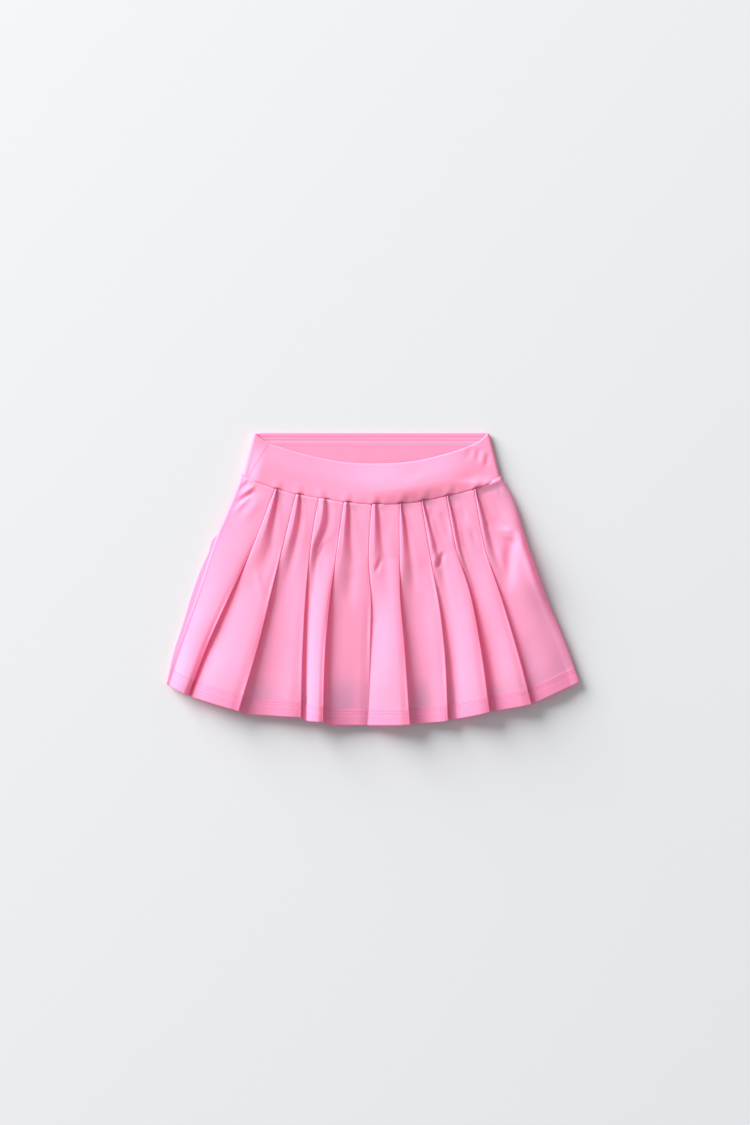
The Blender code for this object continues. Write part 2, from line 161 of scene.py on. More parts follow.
# How far an open pleat rolls over towards its fold, and from what share of its panel
ROLL = 1.3
ROLL_FROM = 0.78
# The gap that shows right of a fold at the hem, for the folds that have one
GAPS = {"fold_3": 6.0, "fold_7": 9.0}
# What is added near the waist seam or the hem fades with this power of the level
NEAR_EDGE = 6
# The share of a panel over which its hem drops below the fold's, and the shares between which it has relief
DROP_SHARE = 0.08
RELIEF_SHARES = (0.08, 0.93)

# The side seams' height at each level, and the straight step up from them. Then how wide the cloth curls down
# to the first and to the last of them, and the share of its rise that it keeps there at the hem.
SIDE_SEAM_Z = [(0.0, 4.1), (0.26, 6.2), (1.0, 6.2)]
SIDE_STEP = 0.4
FRONT_CURLS = (3.0, 9.0)
BACK_CURLS = (3.0, 3.0)
SIDE_AT_HEM = 0.35

# At the seam the folds are pressed by this share towards their middle, down to a level
SEAM_PRESS = 0.15
PRESS_LEVEL = 0.05
# How far past the seam's line the gathered cloth comes up to the band's edge
SEAM_CLOSE = 0.1
# The rows tucked up under the band: how far above the seam and under the middle, and the share of the folds'
# height that they keep
TUCKED_ROWS = ((3.2, 1.0), (0.6, 0.3))
TUCKED_SHARE = 0.05

# The hem: its turning, how far that stands up, over what width it does so, and how far inside it lies. Then
# the needle lines' distances from the edge, and the height and width of the groove of each.
HEM_TURN = 16.7
HEM_RAISE = 0.28
HEM_STEP = (-0.8, 0.6)
HEM_INSET = 0.6
HEM_NEEDLES = (13.5, 10.5)
HEM_GROOVE = (-0.22, 0.7)

# The stitches, how far the first is from a seam's end, and how high they lie in the cloth, in their widths
STITCH_LENGTH = 2.2
STITCH_PITCH = 3.0
STITCH_WIDTH = 0.5
STITCH_START = 0.6
STITCH_LIFT = (-0.4, 0.35)
# How far inside a fold's path its stitching runs
PLEAT_NEEDLE = 0.9

# (height, length across, length up, shift) of the waves that make the cloth uneven, and the levels over
# which they come in
WAVES = ((0.30, 13.0, 41.0, 0.0), (0.22, -29.0, 17.0, 1.3), (0.16, 7.1, -23.0, 2.1))
UNEVEN_FROM = (0.02, 0.3)

# Each fold's path, where its stitching ends, how high it stands, how deep the panel at its right starts, how
# that panel bows and humps, and how far its hem hangs below the fold's.
Line = namedtuple("Line", "name path release crest valley bow hump drop",
                  defaults=(0.0, 0.0, 0.0, 1.0, 0.0, 0.0))
FRONT_LINES = [
    Line("left_side", [(-142.8, LEFT_SEAM_Y), (-156.1, 76.7), (-169.5, 45.0), (-190.6, -16.8),
                       (-209.8, -71.3), (-223.6, -113.6)], crest=3.2, bow=0.9, hump=1.0),
    Line("fold_1", [(-108.1, 97.6), (-128.7, 39.2), (-155.8, -20.5), (-180.1, -74.5), (-199.7, -125.3)],
         0.26, 10.0, 3.0, 0.8, 0.0, 0.5),
    Line("fold_2", [(-85.9, 91.6), (-98.8, 30.8), (-109.1, -11.2), (-124.0, -71.1), (-144.6, -142.1)],
         0.26, 14.5, 5.6, 2.2, -2.4, 3.2),
    Line("fold_3", [(-61.3, 87.4), (-67.2, 40.3), (-72.4, -11.9), (-75.9, -71.3), (-78.0, -149.0)],
         0.22, 9.5, 3.6, 0.35, 0.0, 3.2),
    Line("fold_4", [(-34.3, 82.8), (-40.7, 22.4), (-46.1, -15.4), (-51.5, -73.1), (-54.0, -153.5)],
         0.25, 17.0, 6.4, 1.0, 0.0, 3.8),
    Line("fold_5", [(-4.1, 80.4), (-5.2, 20.5), (-2.5, -19.1), (-3.2, -73.1), (-5.2, -157.7)],
         0.25, 4.2, 3.2, 0.8, 0.0, 0.0),
    Line("fold_6", [(25.9, 80.8), (28.1, 20.5), (28.9, -19.1), (33.2, -69.4), (39.4, -156.6)],
         0.25, 16.5, 6.4, 2.4, -4.0, 0.5),
    Line("fold_7", [(49.4, 83.4), (63.7, 11.6), (70.5, -24.5), (76.4, -73.1), (80.5, -152.8)],
         0.30, 10.5, 2.4, 0.8, 0.0, 0.0),
    Line("fold_8", [(76.4, 88.8), (89.4, 31.3), (102.6, -9.4), (115.0, -71.3), (125.0, -143.0)],
         0.25, 15.0, 1.8, 1.6, 0.0, 0.5),
    Line("fold_9", [(106.3, 95.6), (121.3, 29.9), (138.0, -20.5), (153.4, -71.3), (170.1, -134.8)],
         0.28, 11.5, 2.0, 1.0, 3.0, 0.5),
    Line("right_side", [(138.5, RIGHT_SEAM_Y), (147.4, 93.4), (166.1, 37.4), (186.0, -17.3), (208.1, -71.3),
                        (222.6, -111.2)], crest=8.0),
]

# The back's folds, from the right: where the first and the last are at the seam and at the hem, and the
# path and bow of the last, which is the only one that shows
BACK_FOLDS = 9
BACK_SEAM_SPAN = (112.0, -128.0)
BACK_HEM_SPAN = (184.0, -223.9)
LAST_BACK_FOLD = [(-128.0, 111.0), (-150.0, 82.0), (-167.5, 49.5), (-172.4, 45.5), (-178.2, 30.3),
                  (-187.0, 11.0), (-195.3, -11.6), (-209.0, -56.1), (-215.6, -75.7), (-223.9, -113.4)]
LAST_BACK_BOW = 1.6
# A back panel climbs over this share of its width. The cloth past the last fold rises with a slope where it
# is wider than BACK_EDGE_WIDTH.
BACK_CLIMB = 0.55
BACK_EDGE_SLOPE = 0.3
BACK_EDGE_WIDTH = 5.0
# How far the back's cloth lies below the solid's top
BACK_SINK = 0.2

# Soft troughs and ridges: the path over the front, how wide and high at its strongest, and the shares of its
# length over which it comes and goes.
Crease = namedtuple("Crease", "path width height ends")
FRONT_CREASES = [
    Crease([(-127, 101), (-136, 95), (-147, 88)], 2.2, 1.9, (0.2, 0.6)),
    Crease([(-128, 97), (-138, 89), (-150, 80)], 2.4, -1.8, (0.2, 0.5)),
    Crease([(-131, 92), (-142, 81), (-153, 68)], 2.6, 1.2, (0.3, 0.5)),
    Crease([(-134, 106), (-139, 101), (-146, 97)], 1.6, -1.0, (0.2, 0.4)),
    Crease([(-120, 92), (-131, 76), (-146, 57)], 5.5, 0.9, (0.4, 0.5)),
    Crease([(108, 97), (124, 102), (139, 109)], 2.0, 1.1, (0.4, 0.1)),
    Crease([(112, 91), (127, 95), (141, 102)], 2.2, -0.7, (0.4, 0.2)),
    Crease([(130, 53), (142, 53), (153, 50)], 2.2, 1.0, (0.6, 0.3)),
    Crease([(134, 47), (141, 44), (147, 38)], 3.0, -0.8, (0.6, 0.4)),
    Crease([(154, 54), (160, 38), (171, 9), (182, -17), (197, -60)], 5.6, 2.8, (0.14, 0.75)),
    Crease([(150, 48), (147, 28), (146, 5), (146, -20)], 6.5, -3.0, (0.15, 0.6)),
    Crease([(128, 84), (136, 74), (144, 64)], 1.7, -0.5, (0.4, 0.4)),
    Crease([(134, 101), (136, 96), (138, 90)], 1.5, -0.6, (0.3, 0.4)),
    Crease([(72, 76), (79, 56), (84, 38)], 4.2, -1.1, (0.3, 0.5)),
    Crease([(61, 70), (64, 52), (66, 34)], 3.4, 1.0, (0.3, 0.4)),
    Crease([(94, 80), (97, 71), (101, 60)], 3.0, -0.7, (0.4, 0.4)),
    Crease([(104, 57), (108, 45), (113, 32)], 3.0, -0.8, (0.4, 0.5)),
    Crease([(-60, 84), (-60, 78), (-59, 72)], 1.3, -1.2, (0.2, 0.4)),
    Crease([(15, 72), (14, 55), (16, 35)], 4.0, -0.5, (0.4, 0.5)),
    Crease([(128, 70), (138, 60), (146, 52)], 5.0, -0.8, (0.4, 0.3)),
    Crease([(57, 80), (60, 76), (63, 71)], 1.6, 0.9, (0.3, 0.4)),
    Crease([(76, 29), (72, 19), (67, 9)], 1.9, -2.0, (0.15, 0.35)),
    Crease([(71, 33), (68, 24), (65, 14)], 3.0, 1.1, (0.3, 0.4)),
    Crease([(119, 55), (121, 56), (125, 60)], 1.5, -1.3, (0.3, 0.3)),
    Crease([(-128, 12), (-123, -4), (-117, -22)], 3.5, 0.8, (0.3, 0.6)),
    Crease([(9, 24), (5, 14), (1, 5)], 2.0, -1.6, (0.3, 0.4)),
    Crease([(40, 20), (44, 0), (46, -20)], 5.0, -0.7, (0.4, 0.5)),
    Crease([(-52, 42), (-57, 30), (-62, 16)], 2.4, -1.0, (0.3, 0.5)),
    Crease([(-26, 10), (-25, -10), (-25, -35)], 6.0, -0.9, (0.3, 0.6)),
    Crease([(92, 55), (98, 40), (104, 22)], 4.0, -0.7, (0.4, 0.5)),
    Crease([(150, -8), (163, -34), (176, -62)], 9.0, -0.8, (0.4, 0.5)),
]
BAND_CREASES = [
    Crease([(107, 144), (103, 135), (98, 125)], 3.2, -0.7, (0.3, 0.6)),
    Crease([(114, 142), (113, 134), (111, 124)], 2.6, -0.9, (0.3, 0.5)),
    Crease([(124, 137), (123, 128), (121, 117)], 2.2, -0.8, (0.3, 0.5)),
    Crease([(119, 140), (118, 131), (116, 120)], 2.4, 0.5, (0.3, 0.5)),
    Crease([(-124, 140), (-127, 131), (-131, 121)], 3.0, 0.3, (0.4, 0.5)),
    Crease([(60, 118), (40, 112), (18, 110)], 6.0, -0.5, (0.4, 0.5)),
]

# Each fabric: its colour, the colour and the share of the light that comes through, and its weave's scale
Fabric = namedtuple("Fabric", "colour glow through weave")
FABRICS = {
    "pink_cloth": Fabric((0.99, 0.56, 0.83), (1.0, 0.09, 0.44), 0.55, 1300.0),
    # The hem lies double, so less light comes through it. Its colour is also darker than the rest of the
    # cloth, which is painted shade.
    "hem_cloth_painted_shade": Fabric((0.97, 0.44, 0.71), (1.0, 0.08, 0.38), 0.5, 1300.0),
    "thread": Fabric((0.98, 0.40, 0.62), (1.0, 0.08, 0.26), 0.1, 3000.0),
    "band_cloth": Fabric((0.98, 0.315, 0.50), (1.0, 0.08, 0.26), 0.22, 1700.0),
    "inner_cloth": Fabric((0.98, 0.36, 0.56), (1.0, 0.07, 0.25), 0.3, 1500.0),
}

# The light, the floor and the camera, in metres and watts
KEY_FROM = (-1.0, 0.9, 0.46)
KEY_DISTANCE = 14.0
KEY_SIZE = 11.0
KEY_POWER = 6300.0
SKY_COLOUR = (0.97, 0.98, 1.0)
SKY_STRENGTH = 0.53
FLOOR_COLOUR = (0.575, 0.58, 0.592)
FLOOR_REACH = 4.0
PHOTO_HEIGHT = 1.215
CAMERA_OVER = (0.0016, 0.0178, 0.008)
CAMERA_HEIGHT = 2.4
SENSOR = 36.0


def ease(value, low, high):
    """0 below low, 1 above high, and a smooth step between."""
    share = np.clip((value - low) / (high - low), 0.0, 1.0)
    return share * share * (3 - 2 * share)


def mix(start, end, share):
    """From start at 0 to end at 1."""
    return start + (end - start) * share


def bell(away, width):
    """1 at no distance, falling off over the width."""
    return np.exp(-((away / width) ** 2))


def curve(points, at):
    """A smooth curve's height through (x, y) points in rising x: cubic pieces, slopes from the neighbours."""
    xs, ys = np.array(points, float).T
    slopes = np.gradient(ys, xs)
    at = np.clip(at, xs[0], xs[-1])
    i = np.clip(np.searchsorted(xs, at) - 1, 0, len(xs) - 2)
    width = xs[i + 1] - xs[i]
    t = (at - xs[i]) / width
    rise = ys[i + 1] - ys[i]
    start, end = slopes[i] * width, slopes[i + 1] * width
    return ys[i] + t * start + t * t * (3 * rise - 2 * start - end) + t**3 * (start + end - 2 * rise)


def spots(line, levels):
    """The x and y of a line at each level."""
    ys = mix(line.path[0][1], line.path[-1][1], levels)
    return curve([(y, x) for x, y in reversed(line.path)], ys), ys


def fold_lip(line, levels):
    """How far a stitched fold's lip stands out beside its line of stitching."""
    return FOLD_LIP * np.clip(1 - levels / line.release, 0.0, 1.0)


def stitched_spots(line, levels):
    """The same, with the fold's lip."""
    xs, ys = spots(line, levels)
    return (xs + fold_lip(line, levels) if line.release else xs), ys


def opening(line, levels):
    """How far a pleat has sprung open: 0 where it is stitched down, 1 at the hem."""
    return np.maximum(0.0, (levels - line.release) / (1 - line.release)) ** OPENING


def seam_y(x):
    """The waist seam's height across the front."""
    return np.interp(x, *np.array([line.path[0] for line in FRONT_LINES]).T)


def back_seam_y(x):
    """The waist seam's height across the back."""
    return np.interp(x, [BAND_LEFT[0][0], BAND_RIGHT[0][0]], [LEFT_SEAM_Y, RIGHT_SEAM_Y])


def shorts_cover(x, y):
    """1 where the shorts lie under the front, falling to 0 beside and below them."""
    beside = 1 - ease(np.abs(x) - curve(SHORTS_EDGE, y), *SHORTS_SLOPE_BESIDE)
    return beside * ease(y, *(LEG_HEM_Y - drop for drop in SHORTS_SLOPE_BELOW))


def front_base(x, y):
    """The height of the front skirt's lowest layer."""
    return mix(FRONT_ON_BACK, FRONT_ON_SHORTS, shorts_cover(x, y))


def back_base(x, y):
    """The back's lowest layer is on the floor of its own, turned-over frame."""
    return 0.0 * x


def front_side_z(levels):
    """The height of the front's side seams."""
    return np.interp(levels, *zip(*SIDE_SEAM_Z)) + SEAM_GAP / 2


def back_side_z(levels):
    """The same seams on the back, which is turned over."""
    return BACK_HIGH - np.interp(levels, *zip(*SIDE_SEAM_Z)) + SEAM_GAP / 2


# A pleated cloth: its lines, the shares of a panel that its points are at, its lowest layer, its side seams'
# height and curls, whether its pleats are stitched down, and the steps round a fold
Cloth = namedtuple("Cloth", "lines shares base side_z curls stitched fold_steps")
# Its rows, with the panel that each column is on and its share of it, -1 where hidden, how much of the
# creases' relief it takes, and the rows' levels
Grid = namedtuple("Grid", "points panel share relief levels")


def gather(cloth, index, levels):
    """How much cloth is gathered against a stitched fold: less at the seam, and fading past the release."""
    if not cloth.stitched or index == 0:
        return 0 * levels
    release = cloth.lines[index].release
    from_share, past = GATHER_OUT
    return ease(levels, *GATHER_IN) * (1 - ease(levels, from_share * release, release + past))


def ridge_shape(cloth, index, levels, from_start):
    """The ridge's height at distances from its start: it swells, then drops steeply into a groove."""
    if not cloth.stitched or index == 0:
        return 0 * from_start
    line = cloth.lines[index]
    ridge = RIDGES[line.name]
    width = curve(list(zip((0.0, line.release / 2, line.release), ridge.widths)), levels)[:, None]
    width = np.maximum(RIDGE_LEAST, width - fold_lip(line, levels)[:, None])
    across = from_start / width
    down = np.clip(levels / line.release, 0.0, 1.5)[:, None]
    flank_from, flank_width = (mix(*ends, down) for ends in RIDGE_FLANK)
    shape = ease(from_start, *RIDGE_START) * (1 - ease(across - flank_from, 0.0, flank_width))
    height, place, wide = RIDGE_GROOVE
    shape = shape + height * (1 - 0.6 * down) * bell(across - place, wide)
    height, place, wide = RIDGE_SWELL
    shape = shape + height * bell(across - place, wide)
    return ridge.height * shape * gather(cloth, index, levels)[:, None]


def side_rise(cloth, side, levels):
    """How far the cloth stands above its base just inside a side seam."""
    rise = mix(LAYER, cloth.lines[-1 if side else 0].crest, ease(levels, 0.0, 0.5))
    return rise * mix(1.0, SIDE_AT_HEM, ease(levels, 0.4, 1.0))


def crest_heights(cloth, index, levels, xs, ys):
    """The height of a pleat's fold, or of the cloth beside the last side seam."""
    line = cloth.lines[index]
    if index + 1 < len(cloth.lines):
        lift = max(0.0, line.crest - PLEAT_STACK) * opening(line, levels)
        return cloth.base(xs[index], ys[index]) + PLEAT_STACK + lift
    gap = xs[index] - xs[index - 1]
    rise = np.clip(BACK_EDGE_SLOPE * (gap - BACK_EDGE_WIDTH), 0.0, PLEAT_STACK)
    base = cloth.base(xs[index] - cloth.curls[1], ys[index])
    return base + (side_rise(cloth, 1, levels) if cloth.stitched else rise)


def climb_of(cloth, index, levels, share, gap, open_right):
    """How a panel climbs, past a gap, from 0 to 1 over its shares."""
    reach, power = 1.0, cloth.lines[index].bow
    if cloth.stitched:
        at_seam = 1 - ease(levels, 0.0, SEAM_LEVEL)[:, None]
        power = mix(mix(STITCHED_BOW, SEAM_BOW, at_seam), power, open_right)
    elif index + 2 < len(cloth.lines):
        reach = BACK_CLIMB
    return np.sin(np.pi / 2 * np.clip((share - gap) / (reach - gap), 0.0, 1.0)) ** power


def panel_block(cloth, index, levels, xs, ys):
    """The panel between two lines, from the hidden fold under the first to the top of the second."""
    left, right = cloth.lines[index], cloth.lines[index + 1]
    x0, y0, x1, y1 = (a[:, None] for a in (xs[index], ys[index], xs[index + 1], ys[index + 1]))
    last = index + 2 == len(cloth.lines)
    ridge = gather(cloth, index, levels)[:, None]
    end = x1 - (cloth.curls[1] if last else FOLD_RADIUS)
    start = x0 + (cloth.curls[0] if index == 0 else GATHER_START * ridge)
    hidden = start if index == 0 else x0 - laps(xs, index)[:, None] + FOLD_RADIUS
    start = np.minimum(start, mix(hidden, end, 0.5))
    open_left, open_right = opening(left, levels)[:, None], opening(right, levels)[:, None]
    rise = side_rise(cloth, 0, levels)[:, None] if index == 0 else left.valley * open_left
    low = cloth.base(start, y0) + rise
    high = crest_heights(cloth, index + 1, levels, xs, ys)[:, None]
    share = cloth.shares[None, :]
    x = mix(start, end, share)
    gap = GAPS.get(left.name, 0.0) * open_left / (end - start)
    climb = climb_of(cloth, index, levels, share, gap, open_right)
    z = mix(low, high, climb) + ridge_shape(cloth, index, levels, x - start)
    if cloth.stitched:
        z = z + left.hump * open_left * np.sin(np.pi * share)
    if cloth.stitched and not last:
        z = z - ROLL * open_right * ease(share, ROLL_FROM, 1.0)
    across = np.clip((x - x0) / np.maximum(0.01, x1 - x0), 0.0, 1.0)
    step_down = left.drop * levels[:, None] ** NEAR_EDGE
    y = mix(y0 - step_down * np.minimum(1.0, share / DROP_SHARE), y1, across)
    return np.stack([x, y, z], axis=2)


def laps(xs, index):
    """How far a pleat's cloth goes back under its own fold."""
    return np.minimum(LAP, LAP_SHARE * (xs[index] - xs[index - 1]))


def fold_block(tip, crest, turn, floor, y, slope, steps):
    """The cloth round a pleat's fold, back under it, and round the hidden fold below."""
    tip, crest, turn, floor = (a[:, None] for a in (tip, crest, turn, floor))
    upper, lower = (tip - FOLD_RADIUS, crest - FOLD_RADIUS), (turn + FOLD_RADIUS, floor + FOLD_RADIUS)
    run, fall = upper[0] - lower[0], upper[1] - lower[1]
    tilt = np.arctan2(fall, run) - np.arcsin(2 * FOLD_RADIUS / np.hypot(run, fall))
    share = np.linspace(0, 1, steps + 1)[None, :]
    down = mix(np.pi / 2, tilt - np.pi / 2, share[:, 1:])
    back = mix(tilt + np.pi / 2, 1.5 * np.pi, share)
    arcs = ((upper, down), (lower, back))
    x = np.hstack([middle_x + FOLD_RADIUS * np.cos(turned) for (middle_x, _), turned in arcs])
    z = np.hstack([middle_z + FOLD_RADIUS * np.sin(turned) for (_, middle_z), turned in arcs])
    return np.stack([x, (y + slope * (x - tip).T).T, z], axis=2)


def side_block(edge, inward, near, seam_z, reach, ys, end_ys):
    """From the side seam straight up a little, then a quarter ellipse to the panel."""
    turn = np.linspace(0, np.pi / 2, SIDE_STEPS)[None, :-1]
    x = edge[:, None] + inward * reach * (1 - np.cos(turn))
    z = mix(seam_z[:, None] + SIDE_STEP, near[:, None], np.sin(turn))
    x, z = np.hstack([edge[:, None], x]), np.hstack([seam_z[:, None], z])
    y = mix(ys[:, None], end_ys[:, None], inward * (x - edge[:, None]) / reach)
    return np.stack([x, y, z], axis=2)


def pleated_grid(cloth, levels):
    """All the cloth's rows, from the first side seam to the last."""
    xs, ys = (np.array(a) for a in zip(*(stitched_spots(line, levels) for line in cloth.lines)))
    panels = [panel_block(cloth, i, levels, xs, ys) for i in range(len(cloth.lines) - 1)]
    seam_z = cloth.side_z(levels)
    blocks = [side_block(xs[0], 1, panels[0][:, 0, 2], seam_z, cloth.curls[0], ys[0], ys[0])]
    tags = [(-1, -1.0, 1 - out**2) for out in np.linspace(1, 0, blocks[0].shape[1])]
    for i, panel in enumerate(panels):
        blocks.append(panel)
        fade_in = 1.0 if i == 0 else ease(cloth.shares, 0.0, RELIEF_SHARES[0])
        fade_out = 1.0 if i + 1 == len(panels) else 1 - ease(cloth.shares, RELIEF_SHARES[1], 1.0)
        relief = fade_in * fade_out + 0 * cloth.shares
        tags += [(i, share, part) for share, part in zip(cloth.shares, relief)]
        if i + 1 < len(panels):
            turn = xs[i + 1] - laps(xs, i + 1)
            floor = cloth.base(turn, ys[i + 1])
            slope = (ys[i + 1] - ys[i]) / (xs[i + 1] - xs[i])
            fold = fold_block(xs[i + 1], panel[:, -1, 2], turn, floor, ys[i + 1], slope, cloth.fold_steps)
            blocks.append(fold)
            tags += [(-1, -1.0, 0.0)] * fold.shape[1]
    near = panels[-1][:, -1]
    curl = side_block(xs[-1], -1, near[:, 2], seam_z, cloth.curls[1], ys[-1], near[:, 1])[:, ::-1]
    blocks.append(curl)
    tags += [(-1, -1.0, 1 - out**2) for out in np.linspace(0, 1, curl.shape[1])]
    panel, share, relief = np.array(tags).T
    return Grid(np.concatenate(blocks, axis=1), panel.astype(int), share, relief, levels)


def normals_of(points):
    """The grid's normals, upward where its columns run along +X and its rows towards the hem."""
    along, across = np.gradient(points, axis=0), np.gradient(points, axis=1)
    normal = np.cross(along, across)
    return normal / np.maximum(1e-9, np.linalg.norm(normal, axis=2, keepdims=True))


def from_hem(points):
    """Each point's distance from the hem, along its column."""
    steps = np.linalg.norm(np.diff(points, axis=0), axis=2)
    return np.vstack([np.cumsum(steps[::-1], axis=0)[::-1], np.zeros(points.shape[1])])


def crease_relief(points, crease):
    """The height that a crease adds at the given (x, y) points."""
    path = np.array(crease.path, float)
    nearest, along, done = np.full(len(points), np.inf), np.zeros(len(points)), 0.0
    for start, step in zip(path, np.diff(path, axis=0)):
        length = math.hypot(*step)
        share = np.clip((points - start) @ step / length**2, 0.0, 1.0)
        distance = np.linalg.norm(points - start - share[:, None] * step, axis=1)
        closer = distance < nearest
        nearest, along = np.where(closer, distance, nearest), np.where(closer, done + share * length, along)
        done += length
    strength = ease(along / done, 0.0, crease.ends[0]) * (1 - ease(along / done, 1 - crease.ends[1], 1.0))
    return crease.height * strength * bell(nearest, crease.width)


def undulate(x, y):
    """The slight unevenness of cloth laid down by hand."""
    return sum(height * np.sin(x / across + y / up + shift) for height, across, up, shift in WAVES)


def add_creases(grid, creases, hem):
    """Creases, unevenness and the hem's relief on the panels that show."""
    shown = grid.relief > 0
    x, y = grid.points[:, shown, 0], grid.points[:, shown, 1]
    flat = np.stack([x.ravel(), y.ravel()], axis=1)
    relief = undulate(x, y) * ease(grid.levels, *UNEVEN_FROM)[:, None]
    for crease in creases:
        relief += crease_relief(flat, crease).reshape(x.shape)
    up = hem[:, shown]
    relief += HEM_RAISE * (1 - ease(up, HEM_TURN + HEM_STEP[0], HEM_TURN + HEM_STEP[1]))
    for needle in HEM_NEEDLES:
        relief += HEM_GROOVE[0] * bell(up - needle, HEM_GROOVE[1])
    grid.points[:, shown, 2] += relief * grid.relief[shown]


def turn_hem(points, hem):
    """Adds the hem's fold and the cloth turned up inside it, and says how many rows they are."""
    normals = normals_of(points)
    down = points[-1] - points[-2]
    down /= np.linalg.norm(down, axis=1, keepdims=True)
    edge = points[-1] + HEM_INSET / 2 * down - HEM_INSET / 2 * normals[-1]
    rows = [row for row in range(len(points) - 1, 0, -1) if hem[row].min() < HEM_TURN]
    inside = [points[row] - HEM_INSET * normals[row] for row in rows]
    return np.concatenate([points, [edge], inside]), len(inside) + 1


def along_columns(values, at):
    """The row, with its fraction, where each column's values fall to the given ones."""
    low = np.clip((values > at).sum(axis=0) - 1, 0, len(values) - 2)
    columns = np.arange(values.shape[1])
    first, second = values[low, columns], values[low + 1, columns]
    return low, np.clip((first - at) / np.maximum(1e-9, first - second), 0.0, 1.0)[:, None]


def hem_seams(grid, hem):
    """The twin-needle lines round the hem, on the panels that show, with the cloth's normals."""
    normals, seams = normals_of(grid.points), []
    for needle in HEM_NEEDLES:
        row, part = along_columns(hem, needle)
        columns = np.arange(hem.shape[1])
        line = mix(grid.points[row, columns], grid.points[row + 1, columns], part)
        for panel in range(grid.panel.max() + 1):
            on = (grid.panel == panel) & (grid.share > 0.02)
            seams.append((line[on], normals[row, columns][on]))
    return seams


def pleat_seam(grid, index):
    """The line of stitching that holds a pleat, from the waist seam to its release, and its normals."""
    line = FRONT_LINES[index]
    rows = np.flatnonzero((grid.levels > 0.01) & (grid.levels < line.release))
    on = grid.panel == index - 1
    at, _ = spots(line, grid.levels[rows])
    normals, seam, up = normals_of(grid.points), [], []
    for row, x in zip(rows, at - PLEAT_NEEDLE):
        cloth = grid.points[row, on]
        order = np.argsort(cloth[:, 0])
        seam.append([np.interp(x, cloth[order, 0], cloth[order, axis]) for axis in range(3)])
        up.append([np.interp(x, cloth[order, 0], normals[row, on][order, axis]) for axis in range(3)])
    return np.array(seam), np.array(up)


def meet_seam(grid, seam):
    """Moves the cloth near the waist seam so that its first row lies on it."""
    points = grid.points
    points[:, :, 1] += (seam - points[0, :, 1]) * (1 - grid.levels[:, None]) ** NEAR_EDGE


def front_cloth():
    """The front skirt's rows, how many of them are its hem's turning, and its seams."""
    cloth = Cloth(FRONT_LINES, spread(FRONT_FINENESS.across), front_base, front_side_z, FRONT_CURLS, True,
                  FRONT_FINENESS.fold_steps)
    grid = pleated_grid(cloth, skirt_levels(FRONT_FINENESS))
    points = grid.points
    meet_seam(grid, seam_y(points[0, :, 0]) + SEAM_CLOSE)
    middle = front_base(points[0, :, 0], points[0, :, 1]) + LAYER
    press = mix(SEAM_PRESS, 0.0, ease(grid.levels, 0.0, PRESS_LEVEL))[:, None]
    points[:, :, 2] = mix(points[:, :, 2], middle, press)
    hem = from_hem(points)
    add_creases(grid, FRONT_CREASES, hem)
    x, y, z = points[0].T
    pressed = TUCKED_SHARE * (z - middle)
    tucked = [np.stack([x, y + rise, np.minimum(z, middle - sink) + pressed], axis=1)
              for rise, sink in TUCKED_ROWS]
    seams = [pleat_seam(grid, i) for i in range(1, len(FRONT_LINES) - 1)] + hem_seams(grid, hem)
    rows, turning = turn_hem(points, hem)
    return np.concatenate([tucked, rows]), turning, seams


def spread(count):
    """Shares of a panel, closer together at its ends."""
    even = np.linspace(0, 1, count)
    return mix(even, 0.5 - 0.5 * np.cos(np.pi * even), 0.6)


def skirt_levels(fineness):
    """Levels from the waist seam to the hem, closer together at the hem."""
    return np.concatenate([np.linspace(0, HEM_LEVEL, fineness.rows, endpoint=False),
                           np.linspace(HEM_LEVEL, 1, fineness.hem_rows)])


def turned_over(path):
    """A path as it is seen from behind."""
    return [(-x, y) for x, y in path]


def back_lines():
    """The back's folds, seen turned over about the Y axis, so that they run left to right again."""
    right, left = (Line(line.name, turned_over(line.path)) for line in (FRONT_LINES[-1], FRONT_LINES[0]))
    folds = []
    for i in range(BACK_FOLDS - 1):
        share = i / (BACK_FOLDS - 1)
        top, foot = -mix(*BACK_SEAM_SPAN, share), -mix(*BACK_HEM_SPAN, share)
        hem = mix(mix(*BACK_CORNERS_Y, share), BACK_HEM_Y, math.sin(math.pi * share) ** 0.7)
        folds.append(Line(f"back_fold_{i + 1}", [(top, float(back_seam_y(-top))), (foot, hem)]))
    folds.append(Line(f"back_fold_{BACK_FOLDS}", turned_over(LAST_BACK_FOLD), bow=LAST_BACK_BOW))
    return [right, *folds, left]


def back_cloth():
    """The same for the back skirt, turned the right way up again."""
    cloth = Cloth(back_lines(), spread(BACK_FINENESS.across), back_base, back_side_z, BACK_CURLS, False,
                  BACK_FINENESS.fold_steps)
    grid = pleated_grid(cloth, skirt_levels(BACK_FINENESS))
    points = grid.points
    meet_seam(grid, back_seam_y(-points[0, :, 0]) - SEAM_GAP / 2)
    hem = from_hem(points)
    turned, lift = np.array((-1, 1, -1)), np.array((0, 0, BACK_HIGH - BACK_SINK))
    seams = [(seam * turned + lift, up * turned) for seam, up in hem_seams(grid, hem)]
    rows, turning = turn_hem(points, hem)
    return rows * turned + lift, turning, seams


def band_fold(side, share):
    """x and y of the waistband's side fold at a share of its height."""
    low, high = BAND_RIGHT if side else BAND_LEFT
    return mix(low[0], high[0], share), mix(low[1] + SEAM_GAP / 2, high[1], share)


def band_fold_radius(share):
    """The radius of a side fold's middle at a share of the band's height."""
    return (mix(*BAND_FOLD_Z, share) - BAND_WALL / 2) / 2


def band_back(x, share):
    """Points of a waistband's middle where it lies on the floor."""
    return x, mix(back_seam_y(x) + SEAM_GAP / 2, BACK_TOP_Y, share), 0 * x + BAND_WALL / 2


